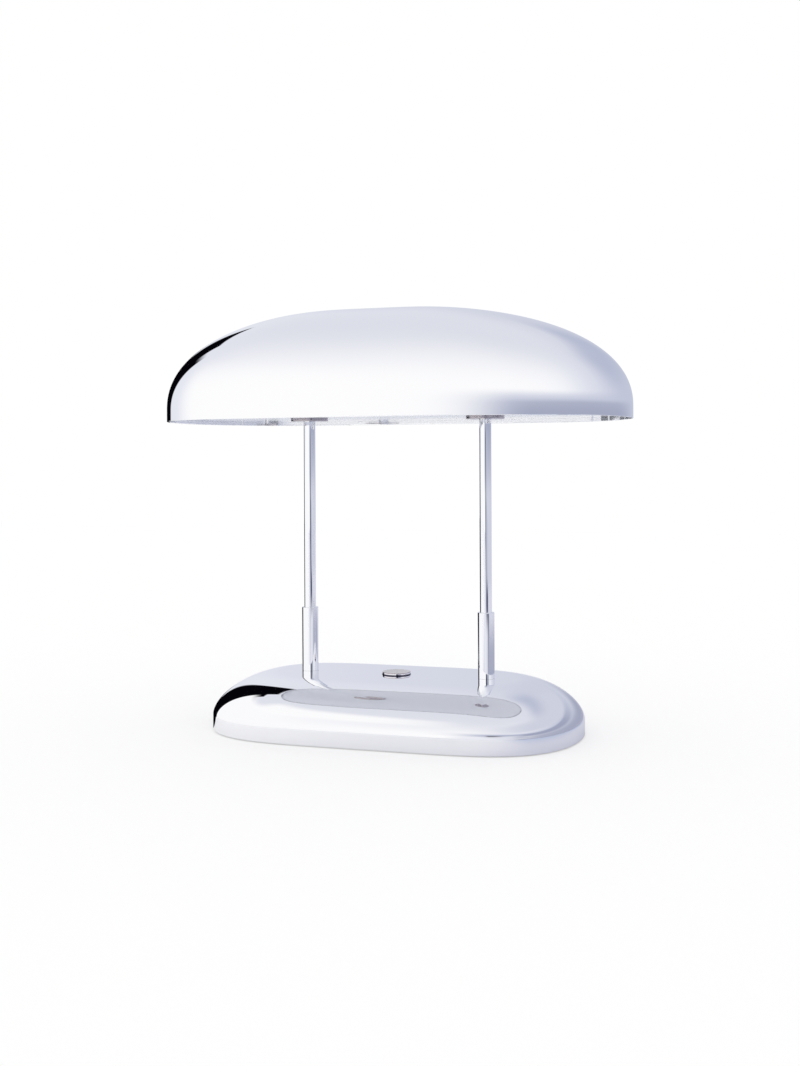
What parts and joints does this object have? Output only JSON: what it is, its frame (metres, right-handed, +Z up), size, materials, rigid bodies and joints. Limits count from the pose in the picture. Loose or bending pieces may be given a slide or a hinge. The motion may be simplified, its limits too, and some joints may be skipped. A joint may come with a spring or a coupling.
{
  "type": "table lamp",
  "caption": "Table lamp with a domed oval chrome shade on two slim stems above a domed oval base with a central push button.",
  "frame": {"origin": "centre of the rectangle that the lamp covers, on the table", "axes": "+X along the lamp to its right end, -Y to the front, +Z up"},
  "size_m": [0.3952, 0.212, 0.348],
  "materials": {
    "chrome": "mirror plated",
    "stem_chrome": "mirror plated tube",
    "button": "satin plated cap",
    "zinc": "bright zinc",
    "cast_iron": "rough casting, black primer",
    "plate": "black powder coat",
    "foot": "soft black",
    "bush": "black moulding",
    "bakelite": "black moulding",
    "holder": "white heat-proof moulding",
    "block": "natural nylon",
    "brass": "bare",
    "spring": "spring wire",
    "opal": "opal, light-spreading",
    "glass": "frosted",
    "cap": "nickelled",
    "lead": "white sleeving"
  },
  "bodies": {
    "root": {"ballast": "cast_iron", "bar_nuts": "zinc", "base_cover": "chrome", "base_plate": "plate", "base_plate_screws": "zinc", "bracket_rivets": "zinc", "bulb_cap_left": "cap", "bulb_cap_right": "cap", "bulb_glass_left": "glass", "bulb_glass_right": "glass", "chassis_bar": "zinc", "cord_bush": "bush", "diffuser": "opal", "earth_screw": "brass", "feet": "foot", "holder_bracket_left": "zinc", "holder_bracket_right": "zinc", "holder_screws": "zinc", "lamp_holder_left": "holder", "lamp_holder_right": "holder", "lead_left": "lead", "lead_right": "lead", "lug_screws": "zinc", "rosette_left": "chrome", "rosette_right": "chrome", "shade_lug_left": "zinc", "shade_lug_right": "zinc", "shade_shell": "chrome", "sleeve_left": "stem_chrome", "sleeve_right": "stem_chrome", "stem_base_nuts": "zinc", "stem_base_washers": "zinc", "stem_left": "stem_chrome", "stem_right": "stem_chrome", "stem_spacers": "zinc", "stem_top_nuts": "zinc", "stem_top_washers": "zinc", "switch_body": "bakelite", "switch_bracket": "zinc", "switch_nut": "zinc", "switch_spring": "spring", "switch_terminals": "brass", "terminal_block": "block", "terminal_screws": "brass"},
    "button": {"switch_button": "button", "switch_plunger": "bakelite"}
  },
  "joints": [
    {"name": "button_press", "type": "slide", "parent": "root", "child": "button", "axis": [0, 0, -1], "range_m": [0, 0.0015], "stiffness_N_per_m": 600, "springref_m": -0.0015, "deforming": ["switch_spring"]}
  ]
}
